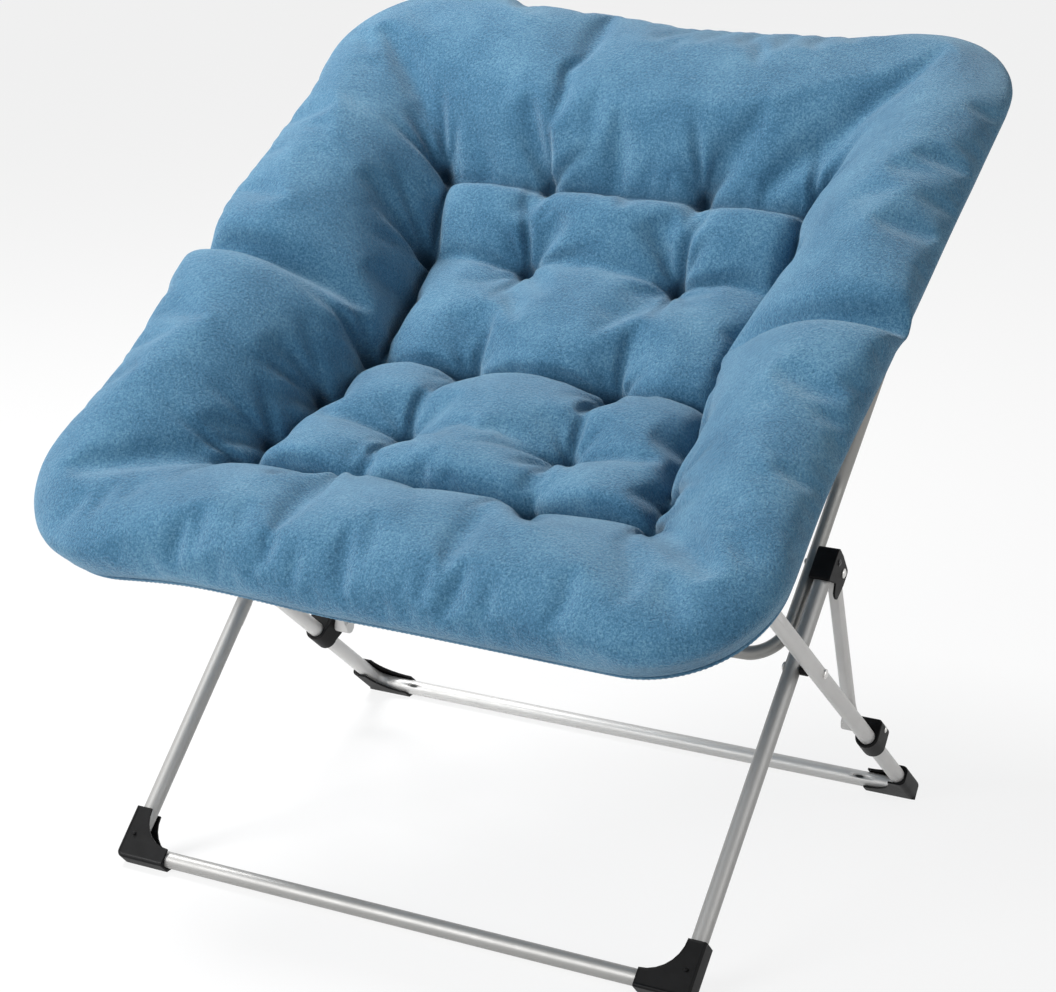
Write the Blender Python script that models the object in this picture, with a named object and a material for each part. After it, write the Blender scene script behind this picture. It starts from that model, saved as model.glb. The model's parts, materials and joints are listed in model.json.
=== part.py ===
# Folding armchair: two crossed tube legs, a hinged rim in two halves and a tufted padded cover.
# Metres, +Z up, +X to the right as seen from the front, +Y towards the back.
# Lengths "along" a leg are measured from the centre line of its floor bar.

import math

import bmesh
import bpy
from mathutils import Matrix, Vector

# Tube stock and fits
LEG_TUBE = 0.019
RIM_TUBE = 0.019
HOOP_TUBE = 0.016
STRUT_TUBE = 0.016
CLEARANCE = 0.0003

# Front leg: one bent tube, floor bar in front, ends held by the upper brackets
FRONT_WIDTH = 0.686
FRONT_SLOPE = math.radians(43.7)
FRONT_LENGTH = 0.5125
LEG_BEND = 0.024

# Rear leg: the same, outside the front leg, floor bar behind
LEG_GAP = 0.009
FOOT_SPREAD = 0.5805
REAR_SLOPE = math.radians(39.3)
PEG_END = 0.012

# Corner caps
CAP_WALL = 0.0025
CAP_REACH = 0.050
CAP_CORNER = 0.008
CAP_LAP = 0.0085
CAP_SOLE = 0.003
CAP_PIN = 0.0022
CAP_PIN_PLACE = 0.017

# Rim: two bent tubes hinged at the sides
RIM_WIDTH = 0.81
RIM_CORNER = 0.11
HINGE_SETBACK = 0.312
HINGE_HEIGHT = 0.626
SEAT_SLOPE = math.radians(33.0)
BACK_SLOPE = math.radians(29.5)
SEAT_REACH = 0.435
BACK_REACH = 0.475
HINGE_SPACE = 0.042
HINGE_PLATE = 0.0036
HINGE_KNUCKLE = 0.009
SLEEVE_WALL = 0.0027

# Hoop under the seat, carried on to the back rim
HOOP_DROP = 0.008
HOOP_LOW = 0.381
HOOP_KNEE = 0.60
HOOP_BEND = 0.045
HOOP_JOIN = 0.16
STRAP_WIDTH = 0.022
STRAP_WALL = 0.003

# Upper bracket, strut and sliding collar
BRACKET_WALL = 0.0025
BRACKET_TOP_WALL = 0.003
BRACKET_LENGTH = 0.042
STRUT_DROP = 0.010
STRUT_OFFSET = 0.022
STRUT_EYE = 0.009
COLLAR_PLACE = 0.1756
COLLAR_LENGTH = 0.034
COLLAR_WALL = 0.004
COLLAR_EAR = 0.0165
EAR_MARGIN = 0.006

# Rivets, pegs and the catch
RIVET_HEAD = 0.0055
RIVET_RISE = 0.0026
SMALL_HEAD = 0.0038
SMALL_RISE = 0.0018
PEG = 0.006
CATCH_LENGTH = 0.03
CATCH_WIDTH = 0.004
CATCH_PLACE = 0.040

# Padded cover
COVER_OVERHANG = 0.024
SEAT_ROLL = 0.20
BACK_ROLL = 0.25
EDGE_RISE = 0.024
ROLL_CROWN = 0.056
ROLL_CREST = 0.07
ROLL_SWELL = 0.85
CREASE_DEPTH = 0.026
CREASE_WIDTH = 0.025
PAD_DEPTH = 0.055
LEG_ROOM = 0.0005
UNDER_RUN = 0.122
PUFF = 0.022
TUFT_DEPTH = 0.013
TUFT_WIDTH = 0.024
TUFT_SIDE = 0.097
PANEL_SIDE = 0.235
SEAT_ROWS = (0.035, 0.166, 0.262)
BACK_ROWS = (0.020, 0.146, 0.243)
SPLIT = 0.0015

# How round the pieces are drawn
TUBE_SIDES = 18
BEND_STEPS = 7
HEAD_SIDES = 16

# Worked out from the sizes above
FLOOR_HEIGHT = LEG_TUBE / 2 + CLEARANCE + CAP_SOLE
FRONT_HALF = FRONT_WIDTH / 2
REAR_HALF = FRONT_HALF + LEG_TUBE + LEG_GAP
RIM_HALF = RIM_WIDTH / 2
CHEEK = LEG_TUBE / 2 + CLEARANCE
SLEEVE_INNER = RIM_TUBE / 2 + CLEARANCE
SLEEVE_OUTER = SLEEVE_INNER + SLEEVE_WALL
HOOP_HALF = FRONT_HALF - CHEEK - BRACKET_WALL - CLEARANCE - HOOP_TUBE / 2
COVER_HALF = RIM_HALF + COVER_OVERHANG
COVER_CORNER = RIM_CORNER + COVER_OVERHANG
COVER_FLOOR = SLEEVE_OUTER + CLEARANCE
STRUT_ALONG = FRONT_LENGTH - STRUT_DROP

X_AXIS = Vector((1.0, 0.0, 0.0))


def plane(point, along):
    # Frame whose first axis is X, whose second runs along the given direction
    along = Vector(along).normalized()
    turn = Matrix((X_AXIS, along, X_AXIS.cross(along))).transposed()
    return Matrix.Translation(point) @ turn.to_4x4()


def slope(angle, backward=True):
    return Vector((0.0, math.cos(angle) * (1 if backward else -1), math.sin(angle)))


front_plane = plane((0.0, 0.0, FLOOR_HEIGHT), slope(FRONT_SLOPE))
rear_plane = plane((0.0, FOOT_SPREAD, FLOOR_HEIGHT), slope(REAR_SLOPE, backward=False))
hinge_point = Vector((0.0, HINGE_SETBACK, HINGE_HEIGHT))
seat_plane = plane(hinge_point, slope(SEAT_SLOPE))
back_plane = plane(hinge_point, slope(BACK_SLOPE))


def crossing():
    # Where the legs cross in side view: distances along the front and the rear leg
    lean = math.pi - REAR_SLOPE - FRONT_SLOPE
    front = FOOT_SPREAD * math.sin(REAR_SLOPE) / math.sin(lean)
    rear = FOOT_SPREAD * math.sin(FRONT_SLOPE) / math.sin(lean)
    return front, rear


def peg_along():
    # Distance along the rear leg at which a peg just carries the seat rim's sleeve
    local = seat_plane.inverted()
    start = (local @ rear_plane @ Vector((0.0, 0.0, 0.0))).z
    end = (local @ rear_plane @ Vector((0.0, 1.0, 0.0))).z
    target = -(SLEEVE_OUTER + CLEARANCE + PEG)
    return (target - start) / (end - start)


FRONT_CROSS, REAR_CROSS = crossing()
PEG_ALONG = peg_along()
REAR_LENGTH = PEG_ALONG + PEG_END
cross_point = front_plane @ Vector((0.0, FRONT_CROSS, 0.0))
strut_point = front_plane @ Vector((0.0, STRUT_ALONG, -STRUT_OFFSET))
collar_point = rear_plane @ Vector((0.0, COLLAR_PLACE, -COLLAR_EAR))

for old in list(bpy.data.objects):
    bpy.data.objects.remove(old, do_unlink=True)


def material(name, colour, roughness, metallic):
    made = bpy.data.materials.new(name)
    made.use_nodes = True
    shader = made.node_tree.nodes["Principled BSDF"]
    shader.inputs["Base Color"].default_value = (*colour, 1.0)
    shader.inputs["Roughness"].default_value = roughness
    shader.inputs["Metallic"].default_value = metallic
    return made


PAINTED_STEEL = material("painted_steel", (0.48, 0.47, 0.45), 0.38, 0.6)
BLACK_PLASTIC = material("black_plastic", (0.018, 0.018, 0.019), 0.5, 0.0)
RIVET_STEEL = material("rivet_steel", (0.62, 0.61, 0.6), 0.3, 1.0)
BLUE_PLUSH = material("blue_plush", (0.075, 0.22, 0.42), 0.95, 0.0)


def empty(name, point, parent=None):
    made = bpy.data.objects.new(name, None)
    made.location = Vector(point) - (parent["place"] if parent else Vector())
    made["place"] = Vector(point)
    made.parent = parent["object"] if parent else None
    bpy.context.collection.objects.link(made)
    return {"object": made, "place": Vector(point)}


def add(name, mesh, stuff, group):
    # Link a mesh built in the chair's frame as a piece of a moving group
    made = bpy.data.objects.new(name, mesh)
    mesh.transform(Matrix.Translation(-group["place"]))
    mesh.materials.append(stuff)
    made.parent = group["object"]
    bpy.context.collection.objects.link(made)
    return made


def finish(name, built, smooth=True):
    bmesh.ops.recalc_face_normals(built, faces=built.faces)
    if built.calc_volume(signed=True) < 0:
        bmesh.ops.reverse_faces(built, faces=built.faces)
    mesh = bpy.data.meshes.new(name)
    built.to_mesh(mesh)
    built.free()
    for face in mesh.polygons:
        face.use_smooth = smooth
    return mesh


def rounded(corners, radius):
    # A path through the corners with each inner corner turned into an arc
    path = [Vector(corners[0])]
    for before, here, after in zip(corners, corners[1:], corners[2:]):
        here = Vector(here)
        back = (Vector(before) - here).normalized()
        ahead = (Vector(after) - here).normalized()
        half = back.angle(ahead) / 2
        centre = here + (back + ahead).normalized() * (radius / math.sin(half))
        first = here + back * (radius / math.tan(half)) - centre
        last = here + ahead * (radius / math.tan(half)) - centre
        for step in range(BEND_STEPS + 1):
            spoke = first.normalized().slerp(last.normalized(), step / BEND_STEPS)
            path.append(centre + spoke * radius)
    path.append(Vector(corners[-1]))
    return path


def rings(built, path, radius, sides):
    # Rows of vertices round a path, carried along it without twist
    tangents = []
    for i, point in enumerate(path):
        into = (point - path[i - 1]).normalized() if i else None
        out = (path[i + 1] - point).normalized() if i + 1 < len(path) else None
        tangents.append((into or out) if not (into and out) else (into + out).normalized())
    side = tangents[0].orthogonal().normalized()
    rows = []
    for i, point in enumerate(path):
        if i:
            side = tangents[i - 1].rotation_difference(tangents[i]) @ side
        across = tangents[i].cross(side)
        rows.append([
            built.verts.new(point + (side * math.cos(a) + across * math.sin(a)) * radius)
            for a in (2 * math.pi * k / sides for k in range(sides))
        ])
    return rows


def skin(built, rows):
    for low, high in zip(rows, rows[1:]):
        count = len(low)
        for k in range(count):
            built.faces.new((low[k], low[(k + 1) % count], high[(k + 1) % count], high[k]))


def rod(name, path, radius, sides=TUBE_SIDES):
    built = bmesh.new()
    rows = rings(built, path, radius, sides)
    skin(built, rows)
    built.faces.new(rows[0])
    built.faces.new(rows[-1])
    return finish(name, built)


def pipe(name, path, inner, outer, sides=TUBE_SIDES):
    built = bmesh.new()
    wall = rings(built, path, outer, sides)
    bore = rings(built, path, inner, sides)
    skin(built, wall)
    skin(built, bore)
    skin(built, [wall[0], bore[0]])
    skin(built, [wall[-1], bore[-1]])
    return finish(name, built)


def turned(name, profile, centre, axis, sides=HEAD_SIDES):
    # Profile of (along, radius) pairs turned about an axis, closed at both ends
    axis = Vector(axis).normalized()
    side = axis.orthogonal().normalized()
    across = axis.cross(side)
    built = bmesh.new()
    rows = []
    for along, radius in profile:
        rows.append([
            built.verts.new(Vector(centre) + axis * along
                            + (side * math.cos(a) + across * math.sin(a)) * radius)
            for a in (2 * math.pi * k / sides for k in range(sides))
        ])
    skin(built, rows)
    built.faces.new(rows[0])
    built.faces.new(rows[-1])
    return finish(name, built)


def dome(name, centre, axis, radius, rise):
    profile = ((CLEARANCE, radius), (rise * 0.45, radius * 0.96),
               (rise * 0.8, radius * 0.72), (rise, radius * 0.36))
    return turned(name, profile, centre, axis)


def prism(name, outline, low, high, frame):
    # An outline of (first, second) pairs in a frame, drawn out along its third axis
    built = bmesh.new()
    rows = [[built.verts.new(frame @ Vector((a, b, c))) for a, b in outline] for c in (low, high)]
    skin(built, rows)
    built.faces.new(rows[0])
    built.faces.new(rows[1])
    return finish(name, built, smooth=False)


def cut(target, cutter_mesh, operation="DIFFERENCE"):
    cutter = bpy.data.objects.new(cutter_mesh.name + "_tool", cutter_mesh)
    cutter_mesh.transform(Matrix.Translation(-Vector(target.parent["place"])))
    cutter.parent = target.parent
    cutter.hide_render = True
    cutter.display_type = "WIRE"
    bpy.context.collection.objects.link(cutter)
    step = target.modifiers.new(cutter.name, "BOOLEAN")
    step.solver = "EXACT"
    step.operation = operation
    step.object = cutter
    return target


def arc(centre, radius, first, last, steps):
    return [(centre[0] + radius * math.cos(first + (last - first) * i / steps),
             centre[1] + radius * math.sin(first + (last - first) * i / steps))
            for i in range(steps + 1)]


chair = empty("chair", (0.0, 0.0, 0.0))
front = empty("front_group", (0.0, 0.0, 0.0), chair)
rear = empty("rear_group", cross_point, chair)
seat = empty("seat_group", hinge_point, chair)
SIDES = (("left", -1), ("right", 1))
struts = {name: empty(f"strut_{name}_group", strut_point + X_AXIS * sign * FRONT_HALF, chair)
          for name, sign in SIDES}
collars = {name: empty(f"collar_{name}_group", collar_point + X_AXIS * sign * REAR_HALF, chair)
           for name, sign in SIDES}


def leg(name, half, length, frame, group):
    corners = [frame @ Vector((x, s, 0.0)) for x, s in
               ((-half, length), (-half, 0.0), (half, 0.0), (half, length))]
    return add(name, rod(name, rounded(corners, LEG_BEND), LEG_TUBE / 2), PAINTED_STEEL, group)


def corner_cap(name, half, sign, frame, group):
    # Channel gusset round a leg's bend, open on its hollow side, flat where it meets the floor
    skin_out = CHEEK + CAP_WALL
    bend = (LEG_BEND, LEG_BEND)
    toe = CAP_CORNER - skin_out
    outer = arc((toe, toe), CAP_CORNER, math.pi, 1.5 * math.pi, BEND_STEPS)
    # The cheeks' ends lap most of the tube, as the photo shows
    hollow = arc((CAP_REACH, CAP_REACH), CAP_REACH - CAP_LAP, 1.5 * math.pi, math.pi, BEND_STEPS)
    outline = [(-skin_out, CAP_REACH), *outer, (CAP_REACH, -skin_out), *hollow]
    middle = arc(bend, LEG_BEND, math.pi, 1.5 * math.pi, BEND_STEPS)
    far = CAP_REACH * 2
    cavity = [(0.0, far), *middle, (far, 0.0), (far, far)]
    place = frame @ Matrix.Translation((sign * half, 0.0, 0.0)) @ Matrix.Diagonal((-sign, 1, 1, 1))
    cap = add(name, prism(name, outline, -skin_out, skin_out, place), BLACK_PLASTIC, group)
    seat_path = [place @ Vector((x, y, 0.0)) for x, y in ((0.0, far), (0.0, 0.0), (far, 0.0))]
    cut(cap, rod(name + "_bore", rounded(seat_path, LEG_BEND), CHEEK / math.cos(math.pi / TUBE_SIDES)))
    cut(cap, prism(name + "_channel", cavity, -CHEEK, CHEEK, place))
    sole = Matrix.Translation(place @ Vector((0.0, 0.0, 0.0)))
    below = sole.translation.z
    wide = CAP_REACH * 3
    box = [(-wide, -wide), (wide, -wide), (wide, wide), (-wide, wide)]
    cut(cap, prism(name + "_sole", box, -below - CAP_REACH, -below, sole))
    return cap


def cap_pin(name, half, sign, frame, face, group):
    at = frame @ Vector((sign * half, CAP_PIN_PLACE, face * (CHEEK + CAP_WALL)))
    axis = frame.to_3x3() @ Vector((0.0, 0.0, face))
    return add(name, dome(name, at, axis, CAP_PIN, SMALL_RISE), BLACK_PLASTIC, group)


def rim_half(name, reach, frame, group):
    sense = 1 if reach > 0 else -1
    corners = [frame @ Vector((x, v, 0.0)) for x, v in (
        (-RIM_HALF, sense * HINGE_SPACE), (-RIM_HALF, reach),
        (RIM_HALF, reach), (RIM_HALF, sense * HINGE_SPACE))]
    path = rounded(corners, RIM_CORNER)
    add(name + "_rim_tube", rod(name + "_rim_tube", path, RIM_TUBE / 2), PAINTED_STEEL, group)
    sleeve = pipe(name + "_hem_sleeve", path, SLEEVE_INNER, SLEEVE_OUTER)
    add(name + "_hem_sleeve", sleeve, BLUE_PLUSH, group)


def rim_hinge(side, sign):
    # Fork on the back rim, tongue on the seat rim, both turning about the hinge axis
    tongue_half = HINGE_PLATE / 2
    fork_half = tongue_half + CLEARANCE + HINGE_PLATE
    knuckle = arc((0.0, 0.0), HINGE_KNUCKLE, 0.5 * math.pi, 1.5 * math.pi, BEND_STEPS)
    end = HINGE_SPACE - CLEARANCE
    base = HINGE_SPACE - HINGE_KNUCKLE
    for name, frame, sense, group in (("fork", back_plane, 1, front),
                                      ("tongue", seat_plane, -1, seat)):
        side_on = frame @ Matrix.Translation((sign * RIM_HALF, 0.0, 0.0)) @ Matrix(
            ((0, 0, 1, 0), (sense, 0, 0, 0), (0, 1, 0, 0), (0, 0, 0, 1)))
        outline = [*knuckle, (end, -HINGE_KNUCKLE), (end, HINGE_KNUCKLE)]
        label = f"rim_{name}_{side}"
        half = fork_half if name == "fork" else tongue_half
        piece = add(label, prism(label, outline, -half, half, side_on), BLACK_PLASTIC, group)
        if name == "fork":
            slot_half = tongue_half + CLEARANCE
            slot = [(-end, -end), (base, -end), (base, end), (-end, end)]
            cut(piece, prism(label + "_slot", slot, -slot_half, slot_half, side_on))
    face = sign * (RIM_HALF + fork_half)
    at = hinge_point + X_AXIS * face
    label = f"rim_rivet_{side}"
    add(label, dome(label, at, X_AXIS * sign, RIVET_HEAD, SMALL_RISE), RIVET_STEEL, front)


def hoop():
    low = front_plane @ Matrix.Translation((0.0, 0.0, -HOOP_DROP))
    stand_off = SLEEVE_OUTER + CLEARANCE * 2 + STRAP_WALL
    corners = []
    for sign in (-1, 1):
        knee = low @ Vector((sign * HOOP_HALF, HOOP_KNEE, 0.0))
        rim = back_plane @ Vector((sign * RIM_HALF, HOOP_JOIN, 0.0))
        lean = (knee - rim).angle(slope(BACK_SLOPE))
        short = (stand_off + HOOP_TUBE / 2 * abs(math.cos(lean))) / math.sin(lean)
        tip = rim + (knee - rim).normalized() * short
        corners.append([tip, knee, low @ Vector((sign * HOOP_HALF, HOOP_LOW, 0.0))])
    path = rounded(corners[0] + corners[1][::-1], HOOP_BEND)
    add("under_seat_hoop", rod("under_seat_hoop", path, HOOP_TUBE / 2), PAINTED_STEEL, front)


def hoop_strap(side, sign):
    # Half clip that hugs the back rim's sleeve from below, over the end of the hoop
    across = back_plane @ Matrix.Translation((sign * RIM_HALF, HOOP_JOIN, 0.0)) @ Matrix(
        ((1, 0, 0, 0), (0, 0, 1, 0), (0, 1, 0, 0), (0, 0, 0, 1)))
    bore = SLEEVE_OUTER + CLEARANCE
    outline = arc((0.0, 0.0), bore + STRAP_WALL, math.pi, 2 * math.pi, BEND_STEPS * 2)
    outline += arc((0.0, 0.0), bore, 2 * math.pi, math.pi, BEND_STEPS * 2)
    label = f"hoop_strap_{side}"
    add(label, prism(label, outline, -STRAP_WIDTH / 2, STRAP_WIDTH / 2, across), PAINTED_STEEL, front)


def side_frame(frame, x):
    # Outline axes: along the leg, then away from its plane; drawn out along X
    return frame @ Matrix.Translation((x, 0.0, 0.0)) @ Matrix(
        ((0, 0, 1, 0), (1, 0, 0, 0), (0, 1, 0, 0), (0, 0, 0, 1)))


def bracket(side, sign):
    top = FRONT_LENGTH + CLEARANCE + BRACKET_TOP_WALL
    low = top - BRACKET_LENGTH
    front_face = CHEEK + BRACKET_WALL
    ear = STRUT_OFFSET + STRUT_EYE + CAP_WALL
    outline = [(low, front_face), (top, front_face), (top, -CHEEK * 0.6),
               (STRUT_ALONG + STRUT_EYE, -ear), (STRUT_ALONG - STRUT_EYE, -ear),
               (low - BRACKET_WALL, -ear + STRUT_EYE / 2),
               (low - BRACKET_WALL, -STRUT_OFFSET + STRUT_EYE / 2), (low + STRUT_EYE, -CHEEK)]
    frame = side_frame(front_plane, sign * FRONT_HALF)
    label = f"upper_bracket_{side}"
    half = CHEEK + BRACKET_WALL
    piece = add(label, prism(label, outline, -half, half, frame), BLACK_PLASTIC, front)
    deep = ear * 2
    room = [(low - deep, -deep), (FRONT_LENGTH + CLEARANCE, -deep),
            (FRONT_LENGTH + CLEARANCE, CHEEK), (low - deep, CHEEK)]
    cut(piece, prism(label + "_room", room, -CHEEK, CHEEK, frame))
    face = X_AXIS * sign * (FRONT_HALF + half)
    at = front_plane @ Vector((0.0, STRUT_ALONG, -STRUT_OFFSET)) + face
    rivet = f"strut_rivet_{side}"
    add(rivet, dome(rivet, at, X_AXIS * sign, RIVET_HEAD, RIVET_RISE), RIVET_STEEL, front)
    at = front_plane @ Vector((0.0, FRONT_LENGTH - STRUT_EYE, 0.0)) + face
    rivet = f"leg_rivet_{side}"
    add(rivet, dome(rivet, at, X_AXIS * sign, SMALL_HEAD, SMALL_RISE), RIVET_STEEL, front)
    inner = X_AXIS * sign * (HOOP_HALF - HOOP_TUBE / 2)
    at = front_plane @ Vector((0.0, STRUT_ALONG, -HOOP_DROP)) + inner
    rivet = f"hoop_rivet_{side}"
    add(rivet, dome(rivet, at, X_AXIS * -sign, SMALL_HEAD, SMALL_RISE), RIVET_STEEL, front)


def strut(side, sign):
    # Brace tube with an eye across each end
    group = struts[side]
    top = strut_point + X_AXIS * sign * FRONT_HALF
    low = collar_point + X_AXIS * sign * FRONT_HALF
    label = f"strut_{side}"
    piece = add(label, rod(label, [top, low], STRUT_TUBE / 2), PAINTED_STEEL, group)
    half = LEG_TUBE / 2
    for end, place in (("top", top), ("low", low)):
        eye = ((-half, STRUT_EYE), (half, STRUT_EYE))
        cut(piece, turned(f"{label}_{end}_eye", eye, place, X_AXIS), "UNION")


def collar(side, sign):
    # Sliding sleeve on the rear leg with an ear for the strut's lower pivot
    group = collars[side]
    outer = LEG_TUBE / 2 + CLEARANCE + COLLAR_WALL
    inward = REAR_HALF - FRONT_HALF - LEG_TUBE / 2 - CLEARANCE
    ear = COLLAR_EAR + EAR_MARGIN
    round_part = arc((0.0, 0.0), outer, 0.0, -math.pi, BEND_STEPS * 2)
    outline = [(outer, ear), *round_part, (-inward, COLLAR_EAR - EAR_MARGIN), (-inward, ear)]
    across = rear_plane @ Matrix.Translation((sign * REAR_HALF, COLLAR_PLACE, 0.0)) @ Matrix(
        ((sign, 0, 0, 0), (0, 0, 1, 0), (0, -1, 0, 0), (0, 0, 0, 1)))
    label = f"slide_collar_{side}"
    half = COLLAR_LENGTH / 2
    piece = add(label, prism(label, outline, -half, half, across), BLACK_PLASTIC, group)
    bore = LEG_TUBE / 2 + CLEARANCE
    hole = arc((0.0, 0.0), bore, 0.0, 2 * math.pi * (1 - 1 / TUBE_SIDES), TUBE_SIDES - 1)
    cut(piece, prism(label + "_bore", hole, -half * 2, half * 2, across))
    label = f"collar_rivet_{side}"
    at = collar_point + X_AXIS * sign * (REAR_HALF + outer)
    add(label, dome(label, at, X_AXIS * sign, SMALL_HEAD, SMALL_RISE), RIVET_STEEL, group)


def cross_pivot(side, sign):
    gap_low = FRONT_HALF + LEG_TUBE / 2 + CLEARANCE
    gap_high = REAR_HALF - LEG_TUBE / 2 - CLEARANCE
    label = f"pivot_spacer_{side}"
    spacer = ((gap_low, PEG), (gap_high, PEG))
    add(label, turned(label, spacer, cross_point, X_AXIS * sign), BLACK_PLASTIC, rear)
    label = f"pivot_rivet_{side}"
    at = cross_point + X_AXIS * sign * (REAR_HALF + LEG_TUBE / 2)
    add(label, dome(label, at, X_AXIS * sign, RIVET_HEAD, RIVET_RISE), RIVET_STEEL, rear)
    label = f"pivot_nut_{side}"
    at = cross_point + X_AXIS * sign * (FRONT_HALF - LEG_TUBE / 2)
    add(label, dome(label, at, X_AXIS * -sign, RIVET_HEAD, RIVET_RISE), RIVET_STEEL, front)


def seat_peg(side, sign):
    # Peg at the rear leg's top end that the seat rim rests on
    label = f"seat_peg_{side}"
    start = REAR_HALF + LEG_TUBE / 2 + CLEARANCE
    end = RIM_HALF + SLEEVE_OUTER
    at = rear_plane @ Vector((0.0, PEG_ALONG, 0.0))
    profile = ((start, PEG), (end, PEG))
    add(label, turned(label, profile, at, X_AXIS * sign), BLACK_PLASTIC, rear)


def catch(side, sign):
    # Spring catch on the front leg, below the crossing
    label = f"leg_catch_{side}"
    start = FRONT_CROSS - CATCH_PLACE
    under = -LEG_TUBE / 2 - CLEARANCE
    outline = [(start, under), (start, under - SMALL_RISE),
               (start - CATCH_LENGTH, under - SMALL_RISE), (start - CATCH_LENGTH, under)]
    frame = side_frame(front_plane, sign * FRONT_HALF)
    add(label, prism(label, outline, -CATCH_WIDTH, CATCH_WIDTH, frame), RIVET_STEEL, front)


def ease(value, low, high):
    share = min(1.0, max(0.0, (value - low) / (high - low)))
    return share * share * (3 - 2 * share)


def cells(value, marks):
    # Height of the row of puffs between the marks: nought on a mark, one midway
    for low, high in zip(marks, marks[1:]):
        if low <= value <= high:
            share = (value - low) / (high - low)
            return math.sqrt(4 * share * (1 - share))
    return 0.0


def bowl(depth_at, v):
    # Smooth line through the bowl's depth below the rim at a few places along it
    for (v0, w0), (v1, w1) in zip(depth_at, depth_at[1:]):
        if v0 <= v <= v1:
            return w0 + (w1 - w0) * ease(v, v0, v1)
    return depth_at[0][1] if v < depth_at[0][0] else depth_at[-1][1]


# Depth below the rim's plane, along the rim: of the top between its puffs, and of the sewn net below
BOWL = ((-0.262, 0.030), (-0.215, 0.031), (-0.166, 0.050), (-0.10, 0.056), (-0.037, 0.086),
        (0.0, 0.070), (0.02, 0.063), (0.08, 0.084), (0.146, 0.088), (0.196, 0.048), (0.25, 0.034))
NET = ((-0.31, 0.024), (-0.261, 0.036), (-0.166, 0.072), (-0.037, 0.106),
       (0.06, 0.117), (0.146, 0.109), (0.239, 0.041), (0.29, 0.020))
SIDE_MARKS = (-PANEL_SIDE, -TUFT_SIDE, TUFT_SIDE, PANEL_SIDE)


def cover(name, sense, reach, roll, rows, sewn, frame, group):
    # Half of the padded cover: a fat roll along the rim and a tufted panel inside it
    length = reach + COVER_OVERHANG
    marks = sorted(sense * row for row in rows)
    tufts = [(u, sense * row) for row in sewn for u in SIDE_MARKS]
    side_steps = [0.0, 0.5 * TUFT_SIDE, TUFT_SIDE]
    side_steps += [TUFT_SIDE + (PANEL_SIDE - TUFT_SIDE) * k / 3 for k in (1, 2, 3)]
    side_steps += [PANEL_SIDE + (COVER_HALF - PANEL_SIDE) * k for k in (0.3, 0.55, 0.75, 0.9, 0.97, 1)]
    columns = [-u for u in side_steps[:0:-1]] + side_steps
    stations = [SPLIT, rows[0] * 0.6, rows[0]]
    stations += [rows[0] + (rows[1] - rows[0]) * k / 4 for k in (1, 2, 3, 4)]
    stations += [rows[1] + (rows[2] - rows[1]) * k / 3 for k in (1, 2, 3)]
    stations += [rows[2] + (length - rows[2]) * k for k in (0.2, 0.4, 0.6, 0.75, 0.87, 0.95, 1)]

    def half_width(v):
        past = abs(v) - (length - COVER_CORNER)
        if past <= 0:
            return COVER_HALF
        return COVER_HALF - COVER_CORNER + math.sqrt(max(0.0, COVER_CORNER ** 2 - past ** 2))

    def inset(u, v):
        # Distance in from the outer edge, in shares of the roll's width
        side = (COVER_HALF - abs(u)) / SEAT_ROLL
        end = (length - abs(v)) / roll
        near = COVER_CORNER / SEAT_ROLL
        if side < near and end < near:
            return near - math.hypot(near - side, near - end)
        return min(side, end)

    def top(u, v):
        share = inset(u, v)
        crest = ROLL_CREST / SEAT_ROLL
        pinch = CREASE_DEPTH * math.exp(-(v / CREASE_WIDTH) ** 2)
        rise = math.sin(0.5 * math.pi * min(1.0, share / crest))
        edge = EDGE_RISE + (ROLL_CROWN - EDGE_RISE - pinch) * rise
        panel = PUFF * cells(u, SIDE_MARKS) * cells(v, marks) - bowl(BOWL, v)
        climb = math.sin(0.5 * math.pi * min(1.0, max(0.0, (1 - share) / (1 - crest))))
        dimple = sum(math.exp(-((u - a) ** 2 + (v - b) ** 2) / TUFT_WIDTH ** 2) for a, b in tufts)
        return panel + (edge - panel) * climb ** ROLL_SWELL - TUFT_DEPTH * dimple

    def bottom(u, v):
        # Stays flat over the rear legs, which carry the rim, and drops inside them
        under = -bowl(NET, v) - PAD_DEPTH
        start = (COVER_HALF - REAR_HALF - LEG_TUBE / 2 - LEG_ROOM) / SEAT_ROLL
        drop = ease(inset(u, v), start, start + UNDER_RUN / SEAT_ROLL)
        return COVER_FLOOR + (under - COVER_FLOOR) * drop

    def point(u, station, height):
        # The face at the hinge leans half the kink between the two halves of the rim
        v = sense * station
        u *= half_width(v) / COVER_HALF
        w = height(u, v)
        lean = math.tan((SEAT_SLOPE - BACK_SLOPE) / 2) * max(0.0, 1 - station / rows[0])
        return frame @ Vector((u, v - sense * lean * w, w))

    built = bmesh.new()
    faces = []
    for height in (top, bottom):
        grid = [[built.verts.new(point(u, station, height)) for u in columns] for station in stations]
        faces.append(grid)
        for low, high in zip(grid, grid[1:]):
            for k in range(len(columns) - 1):
                built.faces.new((low[k], low[k + 1], high[k + 1], high[k]))
    edges = [g[0] + [row[-1] for row in g[1:]] + g[-1][-2::-1] + [row[0] for row in g[-2:0:-1]]
             for g in faces]
    skin(built, edges)
    return add(name, finish(name, built), BLUE_PLUSH, group)


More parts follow.
